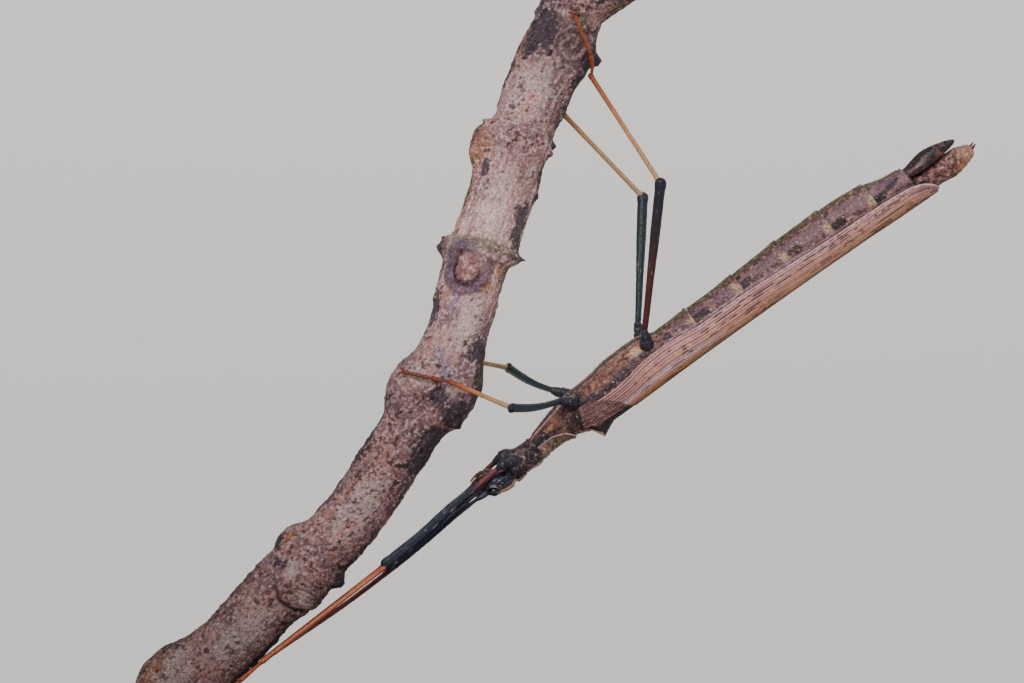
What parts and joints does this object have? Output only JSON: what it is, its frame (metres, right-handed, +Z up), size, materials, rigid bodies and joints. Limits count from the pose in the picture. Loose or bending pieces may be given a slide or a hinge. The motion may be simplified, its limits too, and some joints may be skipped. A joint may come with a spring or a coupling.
{
  "type": "life-size model of a winged stick insect, Pseudophasma triangularis, on a cut stem with a display stand",
  "caption": "Winged stick insect with closed pink-brown wings, gripping a cut length of knobbly stem that a short rod holds over a flat wooden display base.",
  "frame": {"origin": "centre of the display base's underside", "axes": "+Z up out of the base; +X along the base's long side, towards the insect's tail and the stem's upper end; -Y faces the viewer and the insect's right side"},
  "size_m": [0.112, 0.06, 0.1041],
  "materials": {
    "dark_chitin": "satin blue-black",
    "brown_chitin": "granular brown, mottled",
    "abdomen_chitin": "mauve-pink with a speckled grey-brown belly rim",
    "tibia_chitin": "satin, straw to orange",
    "tarsus_chitin": "satin orange-red",
    "wing_membrane": "satin salmon pink with fine dark veins",
    "tegmen_membrane": "netted brown with pale veins",
    "eye_lens": "polished dark",
    "bark": "rough pinkish-grey bark with lichen",
    "base_wood": "satin dark wood",
    "rod_steel": "brushed"
  },
  "bodies": {
    "root": {"abdomen_front": "abdomen_chitin", "abdomen_middle": "abdomen_chitin", "abdomen_rear": "abdomen_chitin", "anal_segments": "brown_chitin", "antenna_base_left": "dark_chitin", "antenna_base_right": "dark_chitin", "antenna_left": "dark_chitin", "antenna_right": "dark_chitin", "cercus_left": "brown_chitin", "cercus_right": "brown_chitin", "eye_left": "eye_lens", "eye_right": "eye_lens", "fore_coxa_left": "dark_chitin", "fore_coxa_right": "dark_chitin", "fore_femur_left": "dark_chitin", "fore_femur_right": "dark_chitin", "fore_tarsus_left": "tarsus_chitin", "fore_tarsus_right": "tarsus_chitin", "fore_tibia_left": "tibia_chitin", "fore_tibia_right": "tibia_chitin", "head": "dark_chitin", "hind_coxa_left": "dark_chitin", "hind_coxa_right": "dark_chitin", "hind_femur_left": "dark_chitin", "hind_femur_right": "dark_chitin", "hind_tarsus_left": "tarsus_chitin", "hind_tarsus_right": "tarsus_chitin", "hind_tibia_left": "tibia_chitin", "hind_tibia_right": "tibia_chitin", "hindwing_left": "wing_membrane", "hindwing_right": "wing_membrane", "mesothorax": "brown_chitin", "metathorax": "brown_chitin", "mid_coxa_left": "dark_chitin", "mid_coxa_right": "dark_chitin", "mid_femur_left": "dark_chitin", "mid_femur_right": "dark_chitin", "mid_tarsus_left": "tarsus_chitin", "mid_tarsus_right": "tarsus_chitin", "mid_tibia_left": "tibia_chitin", "mid_tibia_right": "tibia_chitin", "operculum": "dark_chitin", "perch_lower": "bark", "perch_middle": "bark", "perch_side_shoot": "bark", "perch_upper": "bark", "prothorax": "dark_chitin", "stand_base": "base_wood", "stand_rod": "rod_steel", "tegmen_left": "tegmen_membrane", "tegmen_right": "tegmen_membrane"}
  },
  "joints": []
}
